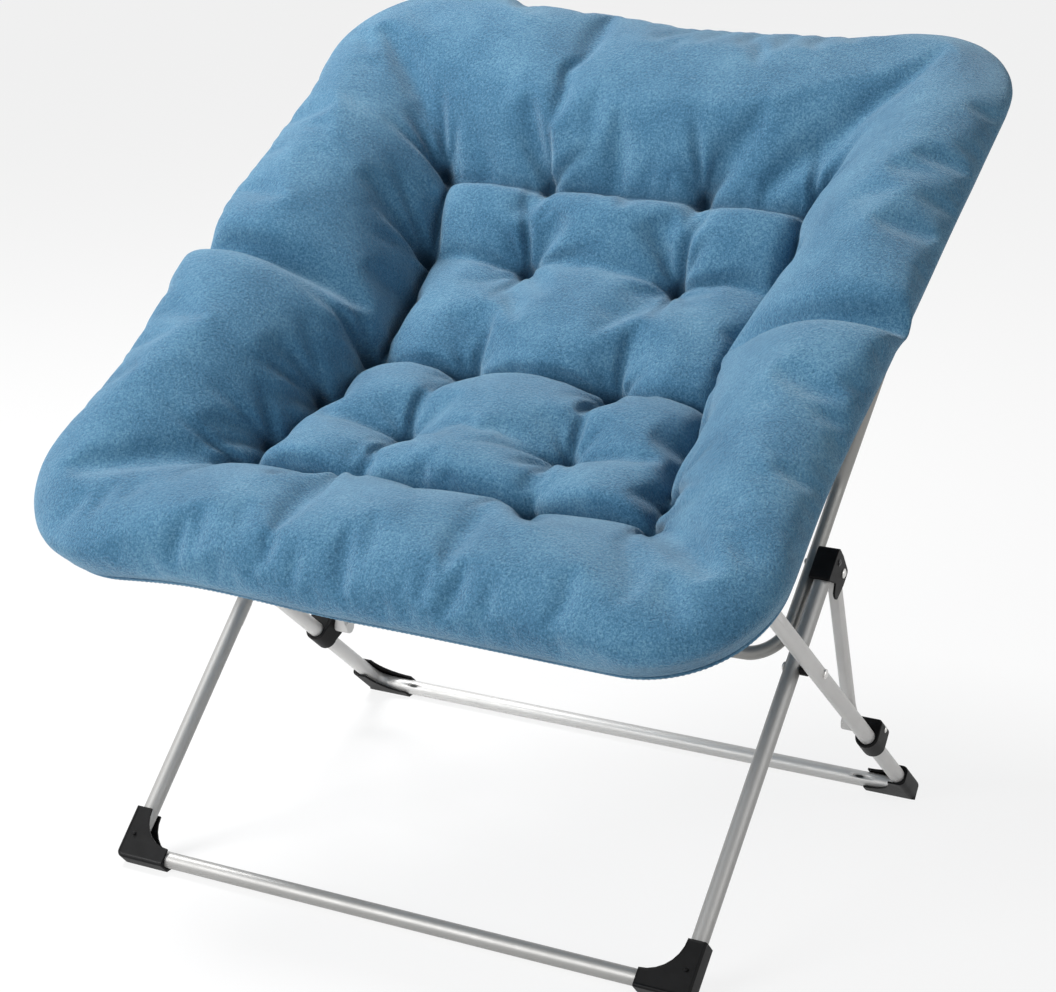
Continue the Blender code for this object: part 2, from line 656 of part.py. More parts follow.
leg("front_leg", FRONT_HALF, FRONT_LENGTH, front_plane, front)
leg("rear_leg", REAR_HALF, REAR_LENGTH, rear_plane, rear)
hoop()
rim_half("seat", -SEAT_REACH, seat_plane, seat)
rim_half("back", BACK_REACH, back_plane, front)
for side, sign in SIDES:
    corner_cap(f"front_cap_{side}", FRONT_HALF, sign, front_plane, front)
    cap_pin(f"front_cap_pin_{side}", FRONT_HALF, sign, front_plane, 1, front)
    corner_cap(f"rear_cap_{side}", REAR_HALF, sign, rear_plane, rear)
    cap_pin(f"rear_cap_pin_{side}", REAR_HALF, sign, rear_plane, -1, rear)
    bracket(side, sign)
    hoop_strap(side, sign)
    strut(side, sign)
    collar(side, sign)
    cross_pivot(side, sign)
    seat_peg(side, sign)
    catch(side, sign)
    rim_hinge(side, sign)
cover("seat_cushion", -1, SEAT_REACH, SEAT_ROLL, SEAT_ROWS, SEAT_ROWS, seat_plane, seat)
cover("back_cushion", 1, BACK_REACH, BACK_ROLL, BACK_ROWS, BACK_ROWS[1:], back_plane, front)

# Put the middle of the whole chair over the origin
bpy.context.view_layer.update()
depths = [(piece.matrix_world @ corner.co).y for piece in bpy.data.objects
          if piece.type == "MESH" and not piece.hide_render for corner in piece.data.vertices]
chair["object"].location.y = -(min(depths) + max(depths)) / 2
bpy.context.view_layer.update()
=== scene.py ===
import json
import math

import bmesh
import bpy
import numpy as np
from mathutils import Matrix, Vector


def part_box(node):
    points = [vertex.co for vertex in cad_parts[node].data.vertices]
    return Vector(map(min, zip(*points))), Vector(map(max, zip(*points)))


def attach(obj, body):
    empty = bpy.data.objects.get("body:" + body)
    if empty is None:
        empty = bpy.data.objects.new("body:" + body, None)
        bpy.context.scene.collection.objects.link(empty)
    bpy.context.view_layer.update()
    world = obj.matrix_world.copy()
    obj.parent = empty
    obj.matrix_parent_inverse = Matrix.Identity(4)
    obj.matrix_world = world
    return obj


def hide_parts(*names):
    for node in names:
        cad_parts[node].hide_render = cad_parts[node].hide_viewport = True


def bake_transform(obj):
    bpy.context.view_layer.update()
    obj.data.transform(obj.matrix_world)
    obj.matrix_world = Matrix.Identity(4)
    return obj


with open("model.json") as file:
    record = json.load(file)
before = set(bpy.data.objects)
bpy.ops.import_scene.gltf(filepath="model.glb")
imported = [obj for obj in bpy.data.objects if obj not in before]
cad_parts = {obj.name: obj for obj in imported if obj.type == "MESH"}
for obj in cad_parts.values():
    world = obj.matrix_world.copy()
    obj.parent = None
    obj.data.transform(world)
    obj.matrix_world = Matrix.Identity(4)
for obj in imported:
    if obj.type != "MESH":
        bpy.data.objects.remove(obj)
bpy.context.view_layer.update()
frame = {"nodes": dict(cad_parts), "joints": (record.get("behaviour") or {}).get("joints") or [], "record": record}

scene = bpy.context.scene
hinge = Vector(next(j["pos_m"] for j in frame["joints"] if j["name"] == "seat_fold"))
print("frame loaded:", len(frame["nodes"]), "nodes")


# Shader maths on sockets: expressions add Math nodes
class Value:
    def __init__(self, tree, socket):
        self.tree = tree
        self.socket = socket

    def calc(self, operation, other):
        node = self.tree.nodes.new("ShaderNodeMath")
        node.operation = operation
        for slot, value in zip(node.inputs, (self, other)):
            if isinstance(value, Value):
                self.tree.links.new(value.socket, slot)
            else:
                slot.default_value = value
        return Value(self.tree, node.outputs[0])

    def __add__(self, other):
        return self.calc("ADD", other)

    def __sub__(self, other):
        return self.calc("SUBTRACT", other)

    def __mul__(self, other):
        return self.calc("MULTIPLY", other)

    __radd__ = __add__


# One material: a Principled shader and a method that adds any other node
class Finish:
    def __init__(self, name):
        self.material = bpy.data.materials.new(name)
        self.material.use_nodes = True
        self.tree = self.material.node_tree
        self.shader = self.tree.nodes["Principled BSDF"]

    def node(self, kind, settings=None, sockets=None, out=0):
        made = self.tree.nodes.new(kind)
        for key, value in (settings or {}).items():
            if key == "stops":
                ramp = made.color_ramp
                while len(ramp.elements) < len(value):
                    ramp.elements.new(0.5)
                for element, (place, colour) in zip(ramp.elements, value):
                    element.position = place
                    element.color = (*colour, 1.0)
            else:
                setattr(made, key, value)
        for key, value in (sockets or {}).items():
            self.feed(made.inputs[key], value)
        return Value(self.tree, made.outputs[out])

    def feed(self, socket, value):
        if isinstance(value, Value):
            self.tree.links.new(value.socket, socket)
        else:
            socket.default_value = value

    def set(self, **values):
        for key, value in values.items():
            self.feed(self.shader.inputs[key.replace("_", " ")], value)

    def place(self):
        return self.node("ShaderNodeTexCoord", out="Object")

    def noise(self, scale, detail=2.0, roughness=0.5):
        return self.node("ShaderNodeTexNoise", None, {
            "Vector": self.place(), "Scale": scale, "Detail": detail, "Roughness": roughness})

    def ramp(self, factor, stops):
        return self.node("ShaderNodeValToRGB", {"stops": stops}, {"Fac": factor})

    def mixColours(self, factor, first, second):
        return self.node("ShaderNodeMix", {"data_type": "RGBA"}, {0: factor, 6: first, 7: second}, out=2)

    def bump(self, height, strength, distance):
        return self.node("ShaderNodeBump", None, {
            "Height": height, "Strength": strength, "Distance": distance})


# One Geometry Nodes tree: named inputs for its sizes, closed with real faces and a material
class Pattern:
    def __init__(self, name, sizes):
        self.tree = bpy.data.node_groups.new(name, "GeometryNodeTree")
        self.tree.interface.new_socket("Geometry", in_out="INPUT", socket_type="NodeSocketGeometry")
        self.tree.interface.new_socket("Geometry", in_out="OUTPUT", socket_type="NodeSocketGeometry")
        self.keys = {}
        for label, value in sizes.items():
            socket = self.tree.interface.new_socket(label, in_out="INPUT", socket_type="NodeSocketFloat")
            socket.default_value = value
            self.keys[label] = socket.identifier
        self.sizes = sizes
        self.start = self.tree.nodes.new("NodeGroupInput")
        self.end = self.tree.nodes.new("NodeGroupOutput")

    def given(self, label="Geometry"):
        return self.start.outputs[label]

    def stored(self, label):
        return self.node("GeometryNodeInputNamedAttribute", {"data_type": "FLOAT_VECTOR"}, {"Name": label})

    def node(self, kind, settings=None, sockets=None, out=0):
        made = self.tree.nodes.new(kind)
        for key, value in (settings or {}).items():
            setattr(made, key, value)
        for key, value in (sockets or {}).items():
            for link in value if isinstance(value, list) else [value]:
                if isinstance(link, bpy.types.NodeSocket):
                    self.tree.links.new(link, made.inputs[key])
                else:
                    made.inputs[key].default_value = link
        return made.outputs[out]

    def close(self, shape, material):
        solid = self.node("GeometryNodeRealizeInstances", None, {"Geometry": shape})
        dressed = self.node("GeometryNodeSetMaterial", None, {"Geometry": solid, "Material": material})
        self.tree.links.new(dressed, self.end.inputs["Geometry"])

    def make(self, name, mesh):
        piece = bpy.data.objects.new(name, mesh)
        scene.collection.objects.link(piece)
        modifier = piece.modifiers.new(name, "NODES")
        modifier.node_group = self.tree
        for label, value in self.sizes.items():
            modifier[self.keys[label]] = value
        return settle(piece)


# Plush tones; the darkest tint, with its share, is painted shade in the folds, along the seams, round the tufts
# and in the hem's groove
plushLook = {
    "dark": (0.017, 0.072, 0.142), "mid": (0.058, 0.172, 0.288), "light": (0.160, 0.330, 0.455),
    "stops": (0.28, 0.50, 0.74), "seam": (0.012, 0.046, 0.094), "seamShare": 0.8,
    "pile": 640.0, "clump": 340.0, "brushed": 14.0,
    "pileShade": 0.58, "clumpShade": 0.52, "brushedShade": 0.32, "darker": 0.20,
    "rough": 0.84, "roughSpread": 0.12, "shine": 0.12,
    "sheen": 0.54, "sheenRough": 0.42, "sheenTint": (0.70, 0.84, 0.93, 1.0),
    "pileRelief": 0.6, "bump": 0.75, "bumpDepth": 0.0030,
}


def makePlush():
    # Short brushed pile: fine mottling, broad brushed patches, and painted shade in its folds, along its seams,
    # round its tufts and in the hem's groove
    form = plushLook
    look = Finish("bluePlush")
    pile = look.noise(form["pile"], 3.0, 0.7)
    clump = look.noise(form["clump"], 3.0, 0.65)
    brushed = look.noise(form["brushed"], 3.0, 0.55)
    shadedCreases = look.node("ShaderNodeAttribute", {"attribute_name": "pinch"}, out="Fac")
    shade = pile * form["pileShade"] + clump * form["clumpShade"] + brushed * form["brushedShade"]
    tints = [form[name] for name in ("dark", "mid", "light")]
    colour = look.ramp(shade - form["darker"], list(zip(form["stops"], tints)))
    # Painted shade: the darkest tint mixed in where the folds, seams, tufts and hem groove lie
    colour = look.mixColours(shadedCreases * form["seamShare"], colour, (*form["seam"], 1.0))
    relief = pile * form["pileRelief"] + clump
    look.set(Base_Color=colour, Roughness=form["rough"] + pile * form["roughSpread"],
             Specular_IOR_Level=form["shine"], Sheen_Weight=form["sheen"],
             Sheen_Roughness=form["sheenRough"], Sheen_Tint=form["sheenTint"],
             Normal=look.bump(relief, form["bump"], form["bumpDepth"]))
    return look.material


# Tube paint; the near-black hole tint and its edge are painted shade inside the drilled holes
tubeLook = {"peel": 700.0, "patches": 26.0, "dull": 0.80, "dullShare": 0.6, "peelRough": 0.05,
            "patchRough": 0.14, "bump": 0.08, "bumpDepth": 0.0004,
            "hole": (0.012, 0.012, 0.012, 1.0), "holeEdge": (1.15, 0.85)}


def makeTubePaint(name, colour, metal, rough, shadedHoles=()):
    # Satin silver paint with a fine orange peel and small dulled patches, and painted shade inside the drilled
    # holes
    form = tubeLook
    look = Finish(name)
    peel = look.noise(form["peel"], 2.0, 0.6)
    patches = look.noise(form["patches"], 4.0, 0.6)
    dull = tuple(c * form["dull"] for c in colour)
    tint = look.mixColours(patches * form["dullShare"], (*colour, 1.0), (*dull, 1.0))
    # Painted shade: each drilled hole's inside darkened to near black
    for middle, _, long, wide in shadedHoles:
        away = look.node("ShaderNodeVectorMath", {"operation": "SUBTRACT"}, {0: look.place(), 1: middle})
        away = look.node("ShaderNodeVectorMath", {"operation": "MULTIPLY"}, {
            0: away, 1: (1 / long, 1 / wide, 1 / wide)})
        far = look.node("ShaderNodeVectorMath", {"operation": "LENGTH"}, {0: away}, out="Value")
        inside = look.node("ShaderNodeMapRange", None, {
            "Value": far, "From Min": form["holeEdge"][0], "From Max": form["holeEdge"][1],
            "To Min": 0.0, "To Max": 1.0})
        tint = look.mixColours(inside, tint, form["hole"])
    worn = rough + patches * form["patchRough"] + peel * form["peelRough"]
    look.set(Base_Color=tint, Metallic=metal, Roughness=worn,
             Normal=look.bump(peel, form["bump"], form["bumpDepth"]))
    return look.material


plasticLook = {"grain": 1300.0, "patches": 60.0, "black": (0.003, 0.003, 0.0032, 1.0),
               "rubbed": (0.012, 0.012, 0.0123, 1.0), "rough": 0.36, "patchRough": 0.22,
               "shine": 0.09, "bump": 0.22, "bumpDepth": 0.0003}


def makeBlackPlastic():
    # Moulded black with a fine eroded grain and greyer rubbed patches
    form = plasticLook
    look = Finish("blackPlastic")
    grain = look.noise(form["grain"], 2.0, 0.6)
    patches = look.noise(form["patches"], 4.0, 0.65)
    look.set(Base_Color=look.mixColours(patches, form["black"], form["rubbed"]),
             Roughness=form["rough"] + patches * form["patchRough"], Specular_IOR_Level=form["shine"],
             Normal=look.bump(grain, form["bump"], form["bumpDepth"]))
    return look.material


steelLook = {"wear": 320.0, "wornShare": 0.5, "rough": 0.18, "wearRough": 0.22}


def makeRivetSteel(name, bright, worn):
    # Plated steel, a little worn
    form = steelLook
    look = Finish(name)
    wear = look.noise(form["wear"], 3.0, 0.6)
    tint = look.mixColours(wear * form["wornShare"], (*bright, 1.0), (*worn, 1.0))
    look.set(Base_Color=tint, Metallic=1.0, Roughness=form["rough"] + wear * form["wearRough"])
    return look.material


threadLook = {"twist": 1800.0, "dark": (0.020, 0.075, 0.150, 1.0), "light": (0.060, 0.170, 0.290, 1.0),
              "rough": 0.55, "twistRough": 0.2, "bump": 0.3, "bumpDepth": 0.0003}


def makeThread():
    # Twisted sewing thread, a shade darker than the pile
    form = threadLook
    look = Finish("blueThread")
    twist = look.noise(form["twist"], 1.0, 0.5)
    look.set(Base_Color=look.mixColours(twist, form["dark"], form["light"]),
             Roughness=form["rough"] + twist * form["twistRough"],
             Normal=look.bump(twist, form["bump"], form["bumpDepth"]))
    return look.material


# Drilled holes on the rear leg: middle, which way it faces, half length, half width
rearHoles = [((0.3803, -0.2054, 0.3864), (1, 0, 0), 0.0030, 0.0030),
             ((-0.3803, -0.2054, 0.3864), (-1, 0, 0), 0.0030, 0.0030),
             ((0.3130, 0.2462, 0.0187), (0, -0.75, 0.66), 0.0075, 0.0026),
             ((-0.3130, 0.2462, 0.0187), (0, -0.75, 0.66), 0.0075, 0.0026)]
drillForm = {"depth": 0.0016, "sides": 24}

plush = makePlush()
# One satin tube paint in three tones: the front leg's is darker, partly its own tone and partly painted shade; the
# hoop's is darker as painted shade
frontPaintAndShade = makeTubePaint("frontLegPaint", (0.36, 0.355, 0.345), 0.45, 0.36)
rearPaint = makeTubePaint("rearLegPaint", (0.62, 0.61, 0.595), 0.30, 0.38, rearHoles)
hoopPaint = makeTubePaint("hoopPaint", (0.30, 0.295, 0.28), 0.50, 0.34)
blackPlastic = makeBlackPlastic()
rivetSteel = makeRivetSteel("rivetSteel", (0.70, 0.69, 0.67), (0.42, 0.41, 0.40))
blackenedSteel = makeRivetSteel("blackenedSteel", (0.060, 0.060, 0.062), (0.020, 0.020, 0.021))
thread = makeThread()
print("finishes made")


def smoothFaces(mesh, smooth=True):
    mesh.polygons.foreach_set("use_smooth", [smooth] * len(mesh.polygons))


def newPiece(name, mesh, material, smooth=True):
    made = bpy.data.objects.new(name, mesh)
    scene.collection.objects.link(made)
    mesh.materials.clear()
    mesh.materials.append(material)
    smoothFaces(mesh, smooth)
    return made


def settle(piece):
    # Turn a piece with modifiers into a plain mesh
    graph = bpy.context.evaluated_depsgraph_get()
    mesh = bpy.data.meshes.new_from_object(piece.evaluated_get(graph))
    piece.modifiers.clear()
    piece.data = mesh
    return piece


def roundOff(piece, levels):
    rounder = piece.modifiers.new("rounder", "SUBSURF")
    rounder.levels = rounder.render_levels = levels
    settle(piece)


def readPoints(mesh):
    flat = np.zeros(len(mesh.vertices) * 3, np.float32)
    mesh.vertices.foreach_get("co", flat)
    return flat.reshape(-1, 3).astype(float)


def readNormals(mesh):
    flat = np.zeros(len(mesh.vertices) * 3, np.float32)
    mesh.vertices.foreach_get("normal", flat)
    return flat.reshape(-1, 3)


def readAttribute(mesh, name, width):
    flat = np.zeros(len(mesh.vertices) * width, np.float32)
    mesh.attributes[name].data.foreach_get("vector" if width == 3 else "value", flat)
    return flat.reshape(-1, width).astype(float)


def writeAttribute(mesh, name, values, width=1):
    layer = mesh.attributes.get(name)
    if layer is None:
        layer = mesh.attributes.new(name, "FLOAT_VECTOR" if width == 3 else "FLOAT", "POINT")
    layer.data.foreach_set("vector" if width == 3 else "value", np.asarray(values, np.float32).ravel())


# Padded cover: heights are measured from the rim's plane, across (u) and along it (v, + to the back)
coverForm = {
    "cells": 116, "evenings": 400,
    "rimHalf": 0.405, "seatReach": 0.435, "backReach": 0.475, "rimCorner": 0.11,
    "seatSlope": 33.0, "backSlope": 29.5, "kink": 0.05,
    "overhang": 0.024, "fieldInset": 0.020, "crest": 0.0435,
    "panel": [(0.245, -0.261), (0.214, -0.037), (0.233, 0.239)],
    "depths": [(-0.31, -0.024), (-0.261, -0.036), (-0.166, -0.072), (-0.037, -0.104),
               (0.060, -0.110), (0.146, -0.098), (0.239, -0.041), (0.29, -0.020)],
    "rows": [-0.261, -0.166, -0.037, 0.146, 0.239], "tuftShare": 0.43,
    "sideTufts": [-0.215, -0.122, 0.146], "rollSwell": 0.72,
    "puff": 0.034, "backPuff": 0.74, "puffChange": [-0.05, 0.10], "puffEdge": (-0.004, 0.026),
    "puffRun": 0.05, "puffTotal": 1.05, "pillowSwell": 0.42,
    "quilt": 0.30, "plainShare": 0.7, "plainPlace": 0.05, "plainWidth": 0.07,
    "seamDepth": 0.010, "seamWidth": 0.009, "tuftDepth": 0.005, "tuftWidth": 0.016,
    "padDepth": 0.055, "legRoom": 0.048, "underRun": 0.122, "underFloor": 0.0085,
    # Round the edge from the front left corner, a side at a time: how far it spreads and how low it hangs
    "edge": [(0.0, 0.012, -0.010), (0.25, 0.0, -0.005), (0.5, 0.004, -0.009), (1.0, 0.010, -0.007),
             (1.25, 0.004, 0.0), (1.5, 0.009, 0.0), (1.75, 0.006, 0.0), (2.0, 0.003, 0.0),
             (2.5, -0.006, 0.0), (3.0, 0.010, 0.0), (3.25, 0.013, 0.0), (3.42, 0.011, 0.0),
             (3.5, 0.0, 0.0), (3.58, 0.005, 0.0), (3.75, 0.006, 0.0), (4.0, 0.012, -0.010)],
}
# Round the rim's tube and up the roll: how far out, how high, and 1 in the hem's sewn groove, which is painted in
# shade
hemProfile = [(-0.0175, 0.0015, 0), (-0.0150, -0.0065, 0), (-0.0080, -0.0112, 0),
              (0.0010, -0.0126, 0), (0.0090, -0.0109, 0), (0.0140, -0.0068, 0), (0.0163, -0.0032, 0),
              (0.0130, -0.0004, 1), (0.0180, 0.0030, 0), (0.0214, 0.0086, 0), (0.0236, 0.0158, 0),
              (0.0240, 0.0232, 0), (0.0215, 0.0316, 0), (0.0145, 0.0386, 0), (0.0040, 0.0424, 0),
              (-0.0080, 0.0434, 0)]
# Heights and widths over which the hem turns into the roll, and the profile's row that is stitched
hemForm = {"drawIn": (0.002, 0.020), "spread": (-0.004, 0.016), "hang": (-0.016, 0.004),
           "top": (0.004, 0.030), "rollFrom": 0.0076, "stitchRow": 5}


def ease(value, low, high):
    share = np.clip((value - low) / (high - low), 0.0, 1.0)
    return share * share * (3 - 2 * share)


def hump(value, width, middle=0.0):
    return np.exp(-((value - middle) / width) ** 2)


def rimToChair(u, v, w):
    form = coverForm
    seat, back = math.radians(form["seatSlope"]), math.radians(form["backSlope"])
    lean = seat + (back - seat) * ease(v, -form["kink"], form["kink"])
    low, high = np.minimum(v, 0.0), np.maximum(v, 0.0)
    y = hinge.y + low * math.cos(seat) + high * math.cos(back) - w * np.sin(lean)
    z = hinge.z + low * math.sin(seat) + high * math.sin(back) + w * np.cos(lean)
    return np.stack([u, y, z], -1)


def rimLoop(count):
    # Points and outward directions round the rim, count to a side, from corner middle to corner middle
    form = coverForm
    r = form["rimCorner"]
    right, front, back = form["rimHalf"] - r, -form["seatReach"] + r, form["backReach"] - r
    middles = [(-right, front), (right, front), (right, back), (-right, back)]
    places, ways = [], []
    eighth, steps = math.radians(45), 24
    for side in range(4):
        turn = math.radians(225 + 90 * side)
        here, there = middles[side], middles[(side + 1) % 4]
        angles = [(here, turn + eighth * k / steps) for k in range(steps + 1)]
        angles += [(there, turn + eighth + eighth * k / steps) for k in range(steps + 1)]
        way = np.array([(math.cos(a), math.sin(a)) for _, a in angles])
        line = np.array([m for m, _ in angles]) + way * r
        run = np.concatenate([[0], np.cumsum(np.linalg.norm(np.diff(line, axis=0), axis=1))])
        even = np.linspace(0, run[-1], count, endpoint=False)
        places.append(np.stack([np.interp(even, run, line[:, k]) for k in (0, 1)], -1))
        ways.append(np.stack([np.interp(even, run, way[:, k]) for k in (0, 1)], -1))
    ways = np.concatenate(ways)
    return np.concatenate(places), ways / np.linalg.norm(ways, axis=1)[:, None]


def edgeShape(count):
    # Spread and hang at each point round the rim, eased between the marks
    marks = np.array(coverForm["edge"])
    along = np.arange(4 * count) / count
    after = np.clip(np.searchsorted(marks[:, 0], along, side="right"), 1, len(marks) - 1)
    share = ease((along - marks[after - 1, 0]) / (marks[after, 0] - marks[after - 1, 0]), 0.0, 1.0)
    mixed = marks[after - 1, 1:] * (1 - share)[:, None] + marks[after, 1:] * share[:, None]
    return mixed[:, 0], mixed[:, 1]


def fieldGrid(edge, count):
    # Square grid whose border is the closed loop, evened out inside it
    grid = np.zeros((count + 1, count + 1, 2))
    grid[0, :] = edge[:count + 1]
    grid[:, -1] = edge[count:2 * count + 1]
    grid[-1, ::-1] = edge[2 * count:3 * count + 1]
    grid[::-1, 0] = np.concatenate([edge[3 * count:], edge[:1]])
    t = np.linspace(0, 1, count + 1)
    a, b = t[:, None, None], t[None, :, None]
    across = grid[:, :1] * (1 - b) + grid[:, -1:] * b
    along = grid[:1] * (1 - a) + grid[-1:] * a
    corners = ((grid[0, 0] * (1 - b) + grid[0, -1] * b) * (1 - a)
               + (grid[-1, 0] * (1 - b) + grid[-1, -1] * b) * a)
    grid[1:-1, 1:-1] = (across + along - corners)[1:-1, 1:-1]
    for _ in range(coverForm["evenings"]):
        grid[1:-1, 1:-1] = (grid[:-2, 1:-1] + grid[2:, 1:-1] + grid[1:-1, :-2] + grid[1:-1, 2:]) / 4
    return grid


def toPanel(u, v):
    # Distance outside the sewn panel's edge (minus inside it) and the nearest place along that edge
    half = coverForm["panel"]
    outline = np.array([(-x, y) for x, y in half] + [(x, y) for x, y in half[::-1]])
    best = np.full(u.shape, 1e9)
    nearV = np.zeros_like(v)
    inside = np.zeros(u.shape, bool)
    for (x0, y0), (x1, y1) in zip(outline, np.roll(outline, -1, 0)):
        dx, dy = x1 - x0, y1 - y0
        t = np.clip(((u - x0) * dx + (v - y0) * dy) / (dx * dx + dy * dy), 0, 1)
        px, py = x0 + t * dx, y0 + t * dy
        gap = np.hypot(u - px, v - py)
        nearV = np.where(gap < best, py, nearV)
        best = np.minimum(best, gap)
        inside ^= ((y0 > v) != (y1 > v)) & (u < x0 + (v - y0) * dx / (dy if dy else 1e-9))
    return np.where(inside, -best, best), nearV


def seamGap(u, v):
    # Distance from the sewn lines: round both panels, and between them where the seat meets the back
    gap, _ = toPanel(u, v)
    fold = coverForm["rows"][2]
    between = np.hypot(v - fold, np.maximum(np.abs(u) - float(panelHalf(fold)), 0.0))
    return np.minimum(np.abs(gap), between)


def toOutside(u, v):
    # Distance in from the cover's outer edge
    form = coverForm
    middle = (form["backReach"] - form["seatReach"]) / 2
    r = form["rimCorner"] + form["overhang"]
    qx = np.abs(u) - (form["rimHalf"] + form["overhang"] - r)
    qy = np.abs(v - middle) - ((form["backReach"] + form["seatReach"]) / 2 + form["overhang"] - r)
    gap = np.hypot(np.maximum(qx, 0), np.maximum(qy, 0)) + np.minimum(np.maximum(qx, qy), 0)
    return r - gap


def netDepth(v):
    # Depth of the sewn net below the rim, smoothed along the chair
    marks = np.array(coverForm["depths"])
    samples, window = 241, 19
    fine = np.linspace(marks[0, 0], marks[-1, 0], samples)
    line = np.interp(fine, marks[:, 0], marks[:, 1])
    soft = np.hanning(window) / np.hanning(window).sum()
    return np.interp(v, fine, np.convolve(np.pad(line, window // 2, mode="edge"), soft, "valid"))


def panelHalf(v):
    marks = coverForm["panel"]
    return np.interp(v, [m[1] for m in marks], [m[0] for m in marks])


def tuftPlaces():
    # Sewn points: the ones inside each panel and those along the panels' edges
    rows, share = coverForm["rows"], coverForm["tuftShare"]
    inner, outer = [], []
    for row in rows:
        for side in (-share, share):
            (outer if row in (rows[0], rows[-1]) else inner).append((side * float(panelHalf(row)), row))
    for row in [rows[0], rows[2], rows[-1]] + coverForm["sideTufts"]:
        outer += [(-float(panelHalf(row)), row), (float(panelHalf(row)), row)]
    return np.array(inner), np.array(outer)


def nearTuft(u, v):
    inner, outer = tuftPlaces()
    return np.min([np.hypot(u - a, v - b) for a, b in np.vstack([inner, outer])], 0)


# Roll along the rim: fuller at the left of the back, lower across its middle, nipped at the hinge,
# drooping at the front left corner
crestForm = {
    "back": (0.25, 0.45), "across": [-0.4, -0.28, -0.1, 0.15, 0.26, 0.4],
    "rises": [0.006, 0.004, -0.010, -0.018, -0.023, -0.016],
    "droop": 0.009, "corner": (-0.38, -0.40), "cornerWidth": 0.07, "side": (0.21, 0.32),
    "nip": 0.030, "nipPlace": 0.004, "nipWidth": 0.020,
    "swell": 0.007, "swellPlace": -0.055, "swellWidth": 0.05,
}


def crestHeight(u, v):
    form = crestForm
    height = np.full(u.shape, coverForm["crest"])
    height += ease(v, *form["back"]) * np.interp(u, form["across"], form["rises"])
    (cornerU, cornerV), wide = form["corner"], form["cornerWidth"]
    height -= form["droop"] * np.exp(-((u - cornerU) / wide) ** 2 - ((v - cornerV) / wide) ** 2)
    side = ease(np.abs(u), *form["side"])
    height -= side * form["nip"] * hump(v, form["nipWidth"], form["nipPlace"])
    height += side * form["swell"] * hump(v, form["swellWidth"], form["swellPlace"])
    return height


def puffShape(u, v):
    # Pillows between the sewn points: nought along the sewn lines, one in the middle
    rows, share = coverForm["rows"], coverForm["tuftShare"]
    place = u / panelHalf(v)
    columns = [-1.0, -share, share, 1.0]
    pillow = np.zeros(u.shape)
    for low, high in zip(columns, columns[1:]):
        for first, last in zip(rows, rows[1:]):
            a, b = (place - low) / (high - low), (v - first) / (last - first)
            here = (a >= 0) & (a < 1) & (b >= 0) & (b < 1)
            rise = np.clip(4 * a * (1 - a), 0, 1) * np.clip(4 * b * (1 - b), 0, 1)
            pillow = np.where(here, rise ** coverForm["pillowSwell"], pillow)
    return pillow


def topHeight(u, v):
    form = coverForm
    gap, nearV = toPanel(u, v)
    beyond = np.maximum(toOutside(u, v) - form["overhang"] - form["fieldInset"], 0.0)
    t = np.clip(gap / (np.maximum(gap, 0) + beyond + 1e-6), 0, 1)
    edge = netDepth(nearV)
    roll = edge + (crestHeight(u, v) - edge) * np.sin(0.5 * math.pi * t) ** form["rollSwell"]
    near = nearTuft(u, v)
    lift = 1 - np.exp(-near / form["puffRun"])
    quilt = form["quilt"] * (1 - form["plainShare"] * hump(v, form["plainWidth"], form["plainPlace"]))
    fill = form["puff"] * np.interp(v, form["puffChange"], [1.0, form["backPuff"]])
    plain = (form["puffTotal"] - quilt) * lift * ease(-gap, *form["puffEdge"])
    puff = fill * (quilt * puffShape(u, v) + plain)
    height = np.where(gap > 0, roll, netDepth(v) + puff)
    height -= form["seamDepth"] * hump(seamGap(u, v), form["seamWidth"])
    return height - form["tuftDepth"] * hump(near, form["tuftWidth"])


def underHeight(u, v):
    form = coverForm
    under = netDepth(v) - form["padDepth"]
    drop = ease(toOutside(u, v), form["legRoom"], form["legRoom"] + form["underRun"])
    return form["underFloor"] + (under - form["underFloor"]) * drop


